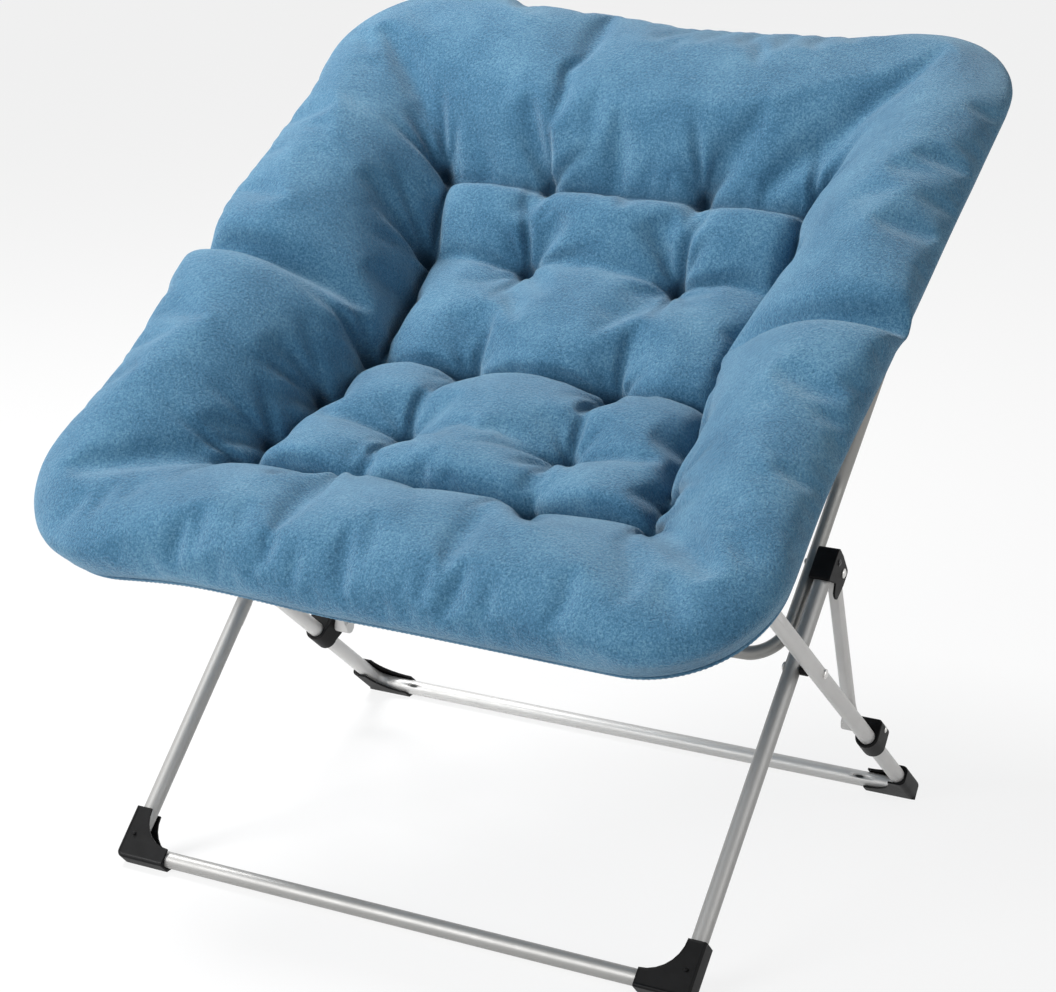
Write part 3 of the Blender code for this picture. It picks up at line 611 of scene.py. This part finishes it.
def buildCover():
    form = coverForm
    count = form["cells"]
    loop, way = rimLoop(count)
    spread, hang = edgeShape(count)
    points, plane, topness, sewn = [], [], [], []

    def layer(u, v, w, top, seam=0.0):
        start = sum(len(p) for p in points)
        points.append(rimToChair(u.ravel(), v.ravel(), w.ravel()))
        plane.append(np.stack([u.ravel(), v.ravel(), np.zeros(u.size)], -1))
        topness.append(np.full(u.size, float(top)))
        # Painted shade mark for the hem's groove, carried to the plush
        sewn.append(np.full(u.size, float(seam)))
        return start

    def square(start, cells):
        return start + np.arange((cells + 1) ** 2).reshape(cells + 1, cells + 1)

    def border(block):
        return np.concatenate([block[0, :-1], block[:-1, -1], block[-1, :0:-1], block[:0:-1, 0]])

    gu, gv = np.moveaxis(fieldGrid(loop - way * form["fieldInset"], count), -1, 0)
    topBlock = square(layer(gu, gv, topHeight(gu, gv), 1.0), count)
    loops = [border(topBlock)]
    for offset, rise, seam in hemProfile[::-1]:
        # The hem stays round the rim's tube where the roll above it draws in
        drawIn = float(ease(rise, *hemForm["drawIn"]))
        reach = np.maximum(spread, 0.0) + np.minimum(spread, 0.0) * drawIn
        u, v = (loop + way * (offset + reach * float(ease(offset, *hemForm["spread"])))[:, None]).T
        if rise > hemForm["rollFrom"]:
            high = rise * crestHeight(u, v) / form["crest"]
        else:
            high = np.full(u.shape, rise)
        top = ease(rise, *hemForm["top"])
        high = high + hang * float(ease(offset, *hemForm["hang"])) * float(1 - top)
        start = layer(u, v, high, top, seam)
        loops.append(start + np.arange(4 * count))
    half = count // 2
    bu, bv = gu[::2, ::2], gv[::2, ::2]
    underBlock = square(layer(bu, bv, underHeight(bu, bv), 0.0), half)

    def quads(block):
        corners = [block[:-1, :-1], block[:-1, 1:], block[1:, 1:], block[1:, :-1]]
        return np.stack(corners, -1).reshape(-1, 4)

    faces = quads(topBlock).tolist() + quads(underBlock)[:, ::-1].tolist()
    for upper, lower in zip(loops, loops[1:]):
        faces += np.stack([upper, lower, np.roll(lower, -1), np.roll(upper, -1)], -1).tolist()
    outer, inner = loops[-1], border(underBlock)
    for k in range(2 * count):
        a, b, c = (int(outer[(2 * k + j) % (4 * count)]) for j in range(3))
        p, q = int(inner[k]), int(inner[(k + 1) % (2 * count)])
        faces += [[a, p, b], [b, p, q, c]]
    mesh = bpy.data.meshes.new("plushCover")
    mesh.from_pydata(np.concatenate(points).tolist(), [], faces)
    writeAttribute(mesh, "rimPlace", np.concatenate(plane), 3)
    writeAttribute(mesh, "topness", np.concatenate(topness))
    writeAttribute(mesh, "hemSeam", np.concatenate(sewn))
    return newPiece("plushCover", mesh, plush), loops[len(hemProfile) - hemForm["stitchRow"]]


# Filling: the sewn cover is blown up as cloth, held at its hem, underside, seams and tufts
fillForm = {"pressure": 4.5, "frames": 20, "grow": -0.045, "stiff": 14.0, "bend": 4.0, "mass": 0.3,
            "quality": 6, "damping": 4.0, "cap": 0.022,
            "tuftHold": 0.010, "seamHold": 0.006, "seamShare": 0.6, "leastHold": 0.02}


def fillCover(cover):
    mesh = cover.data
    start = readPoints(mesh)
    place = readAttribute(mesh, "rimPlace", 3)
    top = readAttribute(mesh, "topness", 1)[:, 0]
    u, v = place[:, 0], place[:, 1]
    alongSeams = fillForm["seamShare"] * hump(seamGap(u, v), fillForm["seamHold"])
    sewn = np.maximum(hump(nearTuft(u, v), fillForm["tuftHold"]), alongSeams)
    sewn = np.where(top > 0.5, sewn, 1.0)
    group = cover.vertex_groups.new(name="sewn")
    for index, weight in enumerate(sewn):
        if weight > fillForm["leastHold"]:
            group.add([index], float(min(weight, 1.0)), "REPLACE")
    cloth = cover.modifiers.new("filling", "CLOTH")
    rules = cloth.settings
    rules.quality = fillForm["quality"]
    rules.mass = fillForm["mass"]
    rules.tension_stiffness = rules.compression_stiffness = fillForm["stiff"]
    rules.shear_stiffness = fillForm["stiff"] / 3
    rules.bending_stiffness = fillForm["bend"]
    rules.air_damping = fillForm["damping"]
    rules.vertex_group_mass = "sewn"
    rules.use_pressure = True
    rules.uniform_pressure_force = fillForm["pressure"]
    rules.shrink_min = rules.shrink_max = fillForm["grow"]
    rules.effector_weights.gravity = 0.0
    cloth.point_cache.frame_start = 1
    cloth.point_cache.frame_end = fillForm["frames"]
    for step in range(1, fillForm["frames"] + 1):
        scene.frame_set(step)
    settle(cover)
    cover.vertex_groups.clear()
    scene.frame_set(1)
    move = readPoints(cover.data) - start
    far = np.linalg.norm(move, axis=1)
    most, middle = (round(float(size) * 1000, 1) for size in (far.max(), np.median(far)))
    print("filling moved up to", most, "mm, middle", middle)
    scale = np.minimum(1.0, fillForm["cap"] / np.maximum(far, 1e-9))
    cover.data.vertices.foreach_set("co", (start + move * scale[:, None]).astype(np.float32).ravel())
    cover.data.update()


# Folds: the range of each one's length and depth, by where its sewn point lies
foldForm = {
    "seed": 7, "middleHalf": 0.15, "fans": (-44, -12, 21, 50), "fanDrift": 9,
    "endLong": (0.045, 0.105), "sideLong": (0.045, 0.085), "edgeDeep": (0.006, 0.012),
    "rays": 8, "rayDrift": 12, "straight": ((0.085, 0.120), (0.007, 0.010)),
    "slanting": ((0.045, 0.075), (0.004, 0.007)),
    "bow": 2.2, "fade": 1.1, "start": 0.006, "narrow": 0.0042, "widening": 0.0078, "lip": 0.55,
}
# Seams pressed in: depth and width; painted shade: the fold depth that is fully shaded, its share at seams and
# tufts, and how far it reaches from them
pinchAndShadeForm = {"seamDeep": 0.0035, "seamWidth": 0.0035, "full": 0.016, "share": 0.6,
             "seamReach": 0.004, "tuftReach": 0.008}


def drawFolds(pick):
    # Rays that fan out from each sewn point: where, which way, how long, how deep
    form = foldForm
    inner, outer = tuftPlaces()
    ends = (coverForm["rows"][0], coverForm["rows"][-1])
    rays = []
    for a, b in outer:
        out = math.atan2(b + 0.01, a)
        side = abs(a) > form["middleHalf"] and b not in ends
        if abs(a) < form["middleHalf"]:
            out = math.copysign(math.pi / 2, b)
        elif side:
            out = 0.0 if a > 0 else math.pi
        for fan in form["fans"]:
            way = out + math.radians(fan + pick.uniform(-form["fanDrift"], form["fanDrift"]))
            length = pick.uniform(*form["sideLong" if side else "endLong"])
            rays.append((a, b, way, length, pick.uniform(*form["edgeDeep"])))
    for a, b in inner:
        for k in range(form["rays"]):
            lengths, depths = form["slanting" if k % 2 else "straight"]
            turn = 360 // form["rays"] * k
            way = math.radians(turn + pick.uniform(-form["rayDrift"], form["rayDrift"]))
            length = pick.uniform(*lengths)
            rays.append((a, b, way, length, pick.uniform(*depths)))
    return rays


def creaseMap(u, v):
    # How deep the folds are at each place, fixed by a seed
    form = foldForm
    pick = np.random.default_rng(form["seed"])
    depth = np.zeros(u.shape)
    for a, b, way, length, deep in drawFolds(pick):
        x, y = u - a, v - b
        along = x * math.cos(way) + y * math.sin(way)
        bow = pick.uniform(-form["bow"], form["bow"])
        aside = -x * math.sin(way) + y * math.cos(way) - bow * along ** 2
        share = np.clip(along / length, 0, 1)
        fade = (1 - share) ** form["fade"] * ease(along, -form["start"], form["start"])
        across = (aside / (form["narrow"] + form["widening"] * share)) ** 2
        depth += deep * fade * (1 - form["lip"] * across) * np.exp(-across)
    return depth


def sculptCover(cover):
    # Fine folds, pressed in along the normals, and a mask of painted shade: darker with fold depth, along the
    # seams, round the tufts and in the hem's groove
    form = pinchAndShadeForm
    mesh = cover.data
    place = readAttribute(mesh, "rimPlace", 3)
    top = readAttribute(mesh, "topness", 1)[:, 0]
    normals = readNormals(mesh)
    u, v = place[:, 0], place[:, 1]
    folds = creaseMap(u, v) * top
    gap = seamGap(u, v)
    folds += form["seamDeep"] * hump(gap, form["seamWidth"]) * top
    moved = readPoints(mesh) - normals * folds[:, None]
    mesh.vertices.foreach_set("co", moved.astype(np.float32).ravel())
    # Painted shade along the seams and round the tufts, added to the folds' and the hem groove's
    shadeAtSeams = form["share"] * hump(gap, form["seamReach"])
    shadeAtTufts = form["share"] * hump(nearTuft(u, v), form["tuftReach"])
    pinch = folds / form["full"] + shadeAtSeams + shadeAtTufts
    hem = readAttribute(mesh, "hemSeam", 1)[:, 0]
    writeAttribute(mesh, "pinch", np.clip(pinch * top + hem, 0, 1))
    mesh.update()


cover, stitchLoop = buildCover()
fillCover(cover)
roundOff(cover, 1)
sculptCover(cover)
smoothFaces(cover.data)
print("cover made:", len(cover.data.polygons), "faces")

# Sewing: a row of stitches under the hem's groove and a crossed tie at each tuft
sewing = {"Step": 0.0056, "Long": 0.0038, "Thick": 0.0011}
ties = {"Long": 0.011, "Thick": 0.0016}
# How far the thread stands clear of the cloth, in its own thickness
stitchRise, tieRise = 0.15, 0.2


def stitchPattern():
    rows = Pattern("hemStitches", sewing)
    line = rows.node("GeometryNodeMeshToCurve", None, {0: rows.given()})
    line = rows.node("GeometryNodeResampleCurve", {"mode": "LENGTH"}, {
        0: line, "Length": rows.given("Step")})
    bead = rows.node("GeometryNodeMeshUVSphere", None, {"Segments": 6, "Rings": 4, "Radius": 0.5})
    size = rows.node("ShaderNodeCombineXYZ", None, {
        0: rows.given("Long"), 1: rows.given("Thick"), 2: rows.given("Thick")})
    bead = rows.node("GeometryNodeTransform", None, {"Geometry": bead, "Scale": size})
    bead = rows.node("GeometryNodeSetShadeSmooth", None, {0: bead})
    tangent = rows.node("GeometryNodeInputTangent")
    turn = rows.node("FunctionNodeAlignRotationToVector", {"axis": "X"}, {"Vector": tangent})
    row = rows.node("GeometryNodeInstanceOnPoints", None, {
        "Points": line, "Instance": bead, "Rotation": turn})
    rows.close(row, thread)
    return rows


def tiePattern():
    knots = Pattern("tuftTies", ties)
    bead = knots.node("GeometryNodeMeshUVSphere", None, {"Segments": 8, "Rings": 5, "Radius": 0.5})
    size = knots.node("ShaderNodeCombineXYZ", None, {
        0: knots.given("Long"), 1: knots.given("Thick"), 2: knots.given("Thick")})
    first = knots.node("GeometryNodeTransform", None, {"Geometry": bead, "Scale": size})
    second = knots.node("GeometryNodeTransform", None, {
        "Geometry": first, "Rotation": (0.0, 0.0, math.pi / 2)})
    cross = knots.node("GeometryNodeJoinGeometry", None, {"Geometry": [first, second]})
    cross = knots.node("GeometryNodeSetShadeSmooth", None, {0: cross})
    facing = knots.stored("facing")
    turn = knots.node("FunctionNodeAlignRotationToVector", {"axis": "Z"}, {"Vector": facing})
    spread = knots.node("GeometryNodeInstanceOnPoints", None, {
        "Points": knots.given(), "Instance": cross, "Rotation": turn})
    knots.close(spread, thread)
    return knots


def pointMesh(name, points, edges=(), **vectors):
    mesh = bpy.data.meshes.new(name)
    mesh.from_pydata([tuple(p) for p in points], list(edges), [])
    for label, values in vectors.items():
        writeAttribute(mesh, label, values, 3)
    return mesh


def sewCover():
    mesh = cover.data
    spots = readPoints(mesh)
    normals = readNormals(mesh)
    row = spots[stitchLoop] + normals[stitchLoop] * sewing["Thick"] * stitchRise
    edges = [(k, (k + 1) % len(row)) for k in range(len(row))]
    hem = stitchPattern().make("hemStitches", pointMesh("hemStitches", row, edges))
    place = readAttribute(mesh, "rimPlace", 3)
    upper = np.flatnonzero(readAttribute(mesh, "topness", 1)[:, 0] > 0.9)
    nearest = [upper[np.argmin(np.hypot(place[upper, 0] - a, place[upper, 1] - b))]
               for a, b in np.vstack(tuftPlaces())]
    knots = tiePattern().make("tuftTies", pointMesh(
        "tuftTies", spots[nearest] + normals[nearest] * ties["Thick"] * tieRise, facing=normals[nearest]))
    return hem, knots


hemStitches, tuftTies = sewCover()
print("cover sewn:", len(hemStitches.data.polygons) + len(tuftTies.data.polygons), "faces of thread")


# Finer copies of the CAD pieces: rounder tubes and softened mouldings
tubePieces = {"front_leg": frontPaintAndShade, "rear_leg": rearPaint, "under_seat_hoop": hoopPaint,
              "strut_left": rearPaint, "strut_right": rearPaint}
tubeForm = {"flat": 40, "square": 60, "rounds": 2, "creaseAngle": 50, "crease": 0.8, "sharp": 38}
legWay = Vector(next(
    j["axis"] for j in frame["joints"] if j["name"] == "collar_right_slide")).normalized()
# Mouldings: how far edges are softened, how round a boot's outer edges and the corners along one way are,
# how wide a raised rim is and how far the cheek sinks inside it
mouldings = {
    "front_cap": {"soft": 0.0004, "boot": 0.0028, "rim": 0.0024, "sink": 0.0013},
    "rear_cap": {"soft": 0.0009, "boot": 0.0070},
    "upper_bracket": {"soft": 0.0010, "corner": 0.0055, "way": Vector((1.0, 0.0, 0.0))},
    "slide_collar": {"soft": 0.0014, "corner": 0.0050, "way": legWay},
}
mouldForm = {"merge": 0.00002, "flat": 2, "softAngle": 32, "softSteps": 3, "steps": 5, "along": 0.995,
             "cornerAngle": 30, "cornerRoom": 1.3, "bootAngle": 60, "chairMiddle": (0.0, 0.0, 0.4)}
nodeBody = {node: body for body, nodes in frame["record"]["behaviour"]["bodies"].items()
            for node in nodes}
nodeSlot = {part["node"]: part["material_slot"] for part in frame["record"]["subparts"]}


def mergedCopy(node, name):
    mesh = bpy.data.meshes.new(name)
    built = bmesh.new()
    built.from_mesh(frame["nodes"][node].data)
    bmesh.ops.remove_doubles(built, verts=built.verts, dist=mouldForm["merge"])
    return mesh, built


def camel(node):
    head, *rest = node.split("_")
    return head + "".join(word.capitalize() for word in rest)


def carry(piece, node):
    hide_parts(node)
    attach(piece, nodeBody[node])


def refineTube(node, paint):
    form = tubeForm
    mesh, built = mergedCopy(node, camel(node))
    bmesh.ops.join_triangles(built, faces=built.faces, angle_face_threshold=math.radians(form["flat"]),
                             angle_shape_threshold=math.radians(form["square"]))
    crease = built.edges.layers.float.new("crease_edge")
    for edge in built.edges:
        if len(edge.link_faces) == 2 and edge.calc_face_angle(0) > math.radians(form["creaseAngle"]):
            edge[crease] = form["crease"]
    built.to_mesh(mesh)
    built.free()
    piece = newPiece(camel(node), mesh, paint)
    roundOff(piece, form["rounds"])
    if node == "rear_leg":
        drillTube(piece)
    smoothFaces(piece.data)
    piece.data.set_sharp_from_angle(angle=math.radians(form["sharp"]))
    carry(piece, node)


def drillTube(piece):
    # Cut the blind holes, each square to the tube and longer across the chair
    cutters = []
    for middle, facing, long, wide in rearHoles:
        out = Vector(facing).normalized()
        first = Vector((0.0, 1.0, 0.0)) if abs(out.x) > 0.5 else Vector((1.0, 0.0, 0.0))
        second = out.cross(first).normalized()
        first = second.cross(out)
        mesh = bpy.data.meshes.new("drill")
        built = bmesh.new()
        bmesh.ops.create_cone(built, cap_ends=True, segments=drillForm["sides"],
                              radius1=1.0, radius2=1.0, depth=1.0)
        for vert in built.verts:
            x, y, z = vert.co
            spot = Vector(middle) + first * x * long + second * y * wide
            vert.co = spot + out * z * drillForm["depth"] * 2
        built.to_mesh(mesh)
        built.free()
        drill = bpy.data.objects.new("drill", mesh)
        scene.collection.objects.link(drill)
        cutters.append(drill)
        hole = piece.modifiers.new("hole", "BOOLEAN")
        hole.solver = "EXACT"
        hole.operation = "DIFFERENCE"
        hole.object = drill
    settle(piece)
    for drill in cutters:
        bpy.data.objects.remove(drill)


def roomBeside(edge, face):
    # How far a face reaches away from one of its edges
    start = edge.verts[0].co
    way = (edge.verts[1].co - start).normalized()
    return max((v.co - start - way * (v.co - start).dot(way)).length for v in face.verts)


def roundEdges(built, edges, radius, clamp):
    bmesh.ops.bevel(built, geom=edges, offset=radius, segments=mouldForm["steps"], profile=0.5,
                    affect="EDGES", clamp_overlap=clamp)


def juts(edge, angle):
    return edge.is_convex and edge.calc_face_angle(0) > math.radians(angle)


def roundCorners(built, way, radius):
    # Round the corners that run along one way, where the faces beside them have room
    corners = []
    for edge in built.edges:
        run = (edge.verts[1].co - edge.verts[0].co).normalized()
        if abs(run.dot(way)) > mouldForm["along"] and juts(edge, mouldForm["cornerAngle"]):
            room = min(roomBeside(edge, face) for face in edge.link_faces)
            if room > radius * mouldForm["cornerRoom"]:
                corners.append(edge)
    roundEdges(built, corners, radius, True)


def largestTwo(built):
    # A cap's two cheeks
    return sorted(built.faces, key=lambda face: face.calc_area())[-2:]


def roundBoot(built, cheeks, radius):
    # Round the cheeks over into the walls that face away from the chair
    built.edges.index_update()
    middle = Vector(mouldForm["chairMiddle"])
    corners = []
    for edge in {edge for cheek in cheeks for edge in cheek.edges}:
        wall = next(face for face in edge.link_faces if face not in cheeks)
        away = wall.normal.dot(wall.calc_center_median() - middle) > 0
        if away and juts(edge, mouldForm["bootAngle"]) and roomBeside(edge, wall) > radius:
            corners.append(edge)
    corners.sort(key=lambda edge: edge.index)
    roundEdges(built, corners, radius, False)


def refineMoulding(node, form):
    mesh, built = mergedCopy(node, camel(node))
    bmesh.ops.dissolve_limit(built, angle_limit=math.radians(mouldForm["flat"]), verts=built.verts,
                             edges=built.edges)
    if "corner" in form:
        roundCorners(built, form["way"], form["corner"])
    if "boot" in form:
        roundBoot(built, largestTwo(built), form["boot"])
    if "rim" in form:
        bmesh.ops.inset_individual(built, faces=largestTwo(built), thickness=form["rim"],
                                   depth=-form["sink"], use_even_offset=True)
    built.to_mesh(mesh)
    built.free()
    piece = newPiece(camel(node), mesh, blackPlastic)
    softer = piece.modifiers.new("softer", "BEVEL")
    softer.width = form["soft"]
    softer.segments = mouldForm["softSteps"]
    softer.limit_method = "ANGLE"
    softer.angle_limit = math.radians(mouldForm["softAngle"])
    # Shade large faces flat beside their rounded edges
    flatter = piece.modifiers.new("flatter", "WEIGHTED_NORMAL")
    flatter.weight = 100
    settle(piece)
    carry(piece, node)


# Rivet heads: which way each kind faces, away from the chair's middle or towards it
rivetWays = {"leg_rivet": 1, "strut_rivet": 1, "collar_rivet": 1, "pivot_rivet": 1, "rim_rivet": 1,
             "hoop_rivet": -1, "pivot_nut": -1}
rivetForm = {"Flange": 0.34, "Dome": 0.86}
rivetSides, rivetRings = 20, 12
darkRivets = ["leg_rivet"]


def rivetPattern(name, steel):
    heads = Pattern(name, rivetForm)
    flange = heads.node("GeometryNodeMeshCylinder", None, {
        "Vertices": rivetSides, "Radius": 1.0, "Depth": heads.given("Flange")})
    dome = heads.node("GeometryNodeMeshUVSphere", None, {
        "Segments": rivetSides, "Rings": rivetRings, "Radius": heads.given("Dome")})
    dome = heads.node("GeometryNodeSetShadeSmooth", None, {0: dome})
    head = heads.node("GeometryNodeJoinGeometry", None, {"Geometry": [flange, dome]})
    turn = heads.node("FunctionNodeAlignRotationToVector", {"axis": "Z"}, {
        "Vector": heads.stored("facing")})
    spread = heads.node("GeometryNodeInstanceOnPoints", None, {
        "Points": heads.given(), "Instance": head, "Rotation": turn, "Scale": heads.stored("size")})
    heads.close(spread, steel)
    return heads


def setRivets(label, heads, kinds):
    # One piece of rivet heads for each body, each head where its CAD node is
    byBody = {}
    for node in frame["nodes"]:
        kind, _, side = node.rpartition("_")
        if kind in kinds:
            way = rivetWays[kind] * (1 if side == "right" else -1)
            byBody.setdefault(nodeBody[node], []).append((node, way))
    for body, rivets in byBody.items():
        places, facing, sizes = [], [], []
        for node, way in rivets:
            low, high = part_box(node)
            radius, rise = (high[1] - low[1]) / 2, high[0] - low[0]
            base = low[0] if way > 0 else high[0]
            places.append((base, (low[1] + high[1]) / 2, (low[2] + high[2]) / 2))
            facing.append((way, 0.0, 0.0))
            sizes.append((radius, radius, rise / rivetForm["Dome"]))
        name = camel(body) + label
        piece = heads.make(name, pointMesh(name, places, facing=facing, size=sizes))
        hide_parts(*[node for node, _ in rivets])
        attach(piece, body)


brightRivets = [kind for kind in rivetWays if kind not in darkRivets]
setRivets("Rivets", rivetPattern("rivetHeads", rivetSteel), brightRivets)
setRivets("DarkRivets", rivetPattern("darkRivetHeads", blackenedSteel), darkRivets)
for node, paint in tubePieces.items():
    refineTube(node, paint)
for kind, form in mouldings.items():
    for side in ("left", "right"):
        refineMoulding(f"{kind}_{side}", form)
for node, piece in frame["nodes"].items():
    finish = {"painted_steel": frontPaintAndShade, "black_plastic": blackPlastic,
              "rivet_steel": rivetSteel, "blue_plush": plush}[nodeSlot[node]]
    piece.data.materials.clear()
    piece.data.materials.append(finish)
print("tubes and mouldings made")

# The cover crosses the hinge: the chair points just before and after it are found, the CAD cushions are hidden,
# and the cover and its thread are baked where they lie
turnZone = 0.055
seatSide, backSide = (
    rimToChair(np.array([0.0]), np.array([v]), np.array([0.0]))[0] for v in (-turnZone, turnZone))
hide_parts("seat_cushion", "back_cushion", "seat_hem_sleeve", "back_hem_sleeve")
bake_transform(cover)
for sewnPiece in (hemStitches, tuftTies):
    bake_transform(sewnPiece)
print("pieces carried")


# Camera, floor and light
viewPoint = {"place": (1.2597, -2.3814, 1.2352), "tilt": 17.32, "turn": 28.058, "lens": 84.58}
camera = bpy.data.objects.new("camera", bpy.data.cameras.new("camera"))
scene.collection.objects.link(camera)
camera.location = viewPoint["place"]
camera.rotation_euler = (math.radians(90 - viewPoint["tilt"]), 0.0, math.radians(viewPoint["turn"]))
camera.data.lens = viewPoint["lens"]
camera.data.sensor_width = 36.0
scene.camera = camera

# Floor and sky are whiter where they are seen or mirrored than as lights
seenRays = ("Is Camera Ray", "Is Glossy Ray", "Is Transmission Ray")
floorForm = {"half": 40, "tint": (0.86, 0.86, 0.86, 1.0), "rough": 0.9, "shine": 0.1, "glow": 0.84}
reach = floorForm["half"]
floorMesh = bpy.data.meshes.new("floor")
floorMesh.from_pydata([(-reach, -reach, 0), (reach, -reach, 0), (reach, reach, 0), (-reach, reach, 0)],
                      [], [(0, 1, 2, 3)])
floorLook = Finish("paleFloor")
floorLook.set(Base_Color=floorForm["tint"], Roughness=floorForm["rough"],
              Specular_IOR_Level=floorForm["shine"])
seen = [floorLook.node("ShaderNodeLightPath", out=kind) for kind in seenRays]
glow = floorLook.node("ShaderNodeEmission", None, {"Color": (1, 1, 1, 1), "Strength": 1.0})
plain = Value(floorLook.tree, floorLook.shader.outputs[0])
mixed = floorLook.node("ShaderNodeMixShader", None, {
    0: (seen[0] + seen[1] + seen[2]) * floorForm["glow"], 1: plain, 2: glow})
floorLook.feed(floorLook.tree.nodes["Material Output"].inputs["Surface"], mixed)
floor = newPiece("floor", floorMesh, floorLook.material, smooth=False)

studio = {"sky": (0.98, 0.99, 1.0, 1.0), "skyLevel": 0.19, "aim": (0.0, 0.0, 0.5)}
lamps = {
    "keyLight": {"place": (-1.7, 0.1, 2.9), "size": 0.9, "power": 102.0},
    "frontLight": {"place": (-1.5, -3.0, 1.8), "size": 1.8, "power": 98.0},
    "rightLight": {"place": (2.8, -0.6, 1.6), "size": 1.8, "power": 20.0},
}
world = bpy.data.worlds.new("studio")
scene.world = world
world.use_nodes = True
sky = world.node_tree.nodes["Background"]
sky.inputs["Color"].default_value = studio["sky"]
rays = world.node_tree.nodes.new("ShaderNodeLightPath")
shown = [Value(world.node_tree, rays.outputs[kind]) for kind in seenRays]
level = studio["skyLevel"] + (shown[0] + shown[1] + shown[2]) * (1 - studio["skyLevel"])
world.node_tree.links.new(level.socket, sky.inputs["Strength"])
for name, lamp in lamps.items():
    light = bpy.data.lights.new(name, "AREA")
    light.size = lamp["size"]
    light.energy = lamp["power"]
    holder = bpy.data.objects.new(name, light)
    holder.location = lamp["place"]
    beam = Vector(studio["aim"]) - Vector(lamp["place"])
    holder.rotation_euler = beam.to_track_quat("-Z", "Y").to_euler()
    scene.collection.objects.link(holder)
scene.view_settings.view_transform = "Standard"
print("studio made")
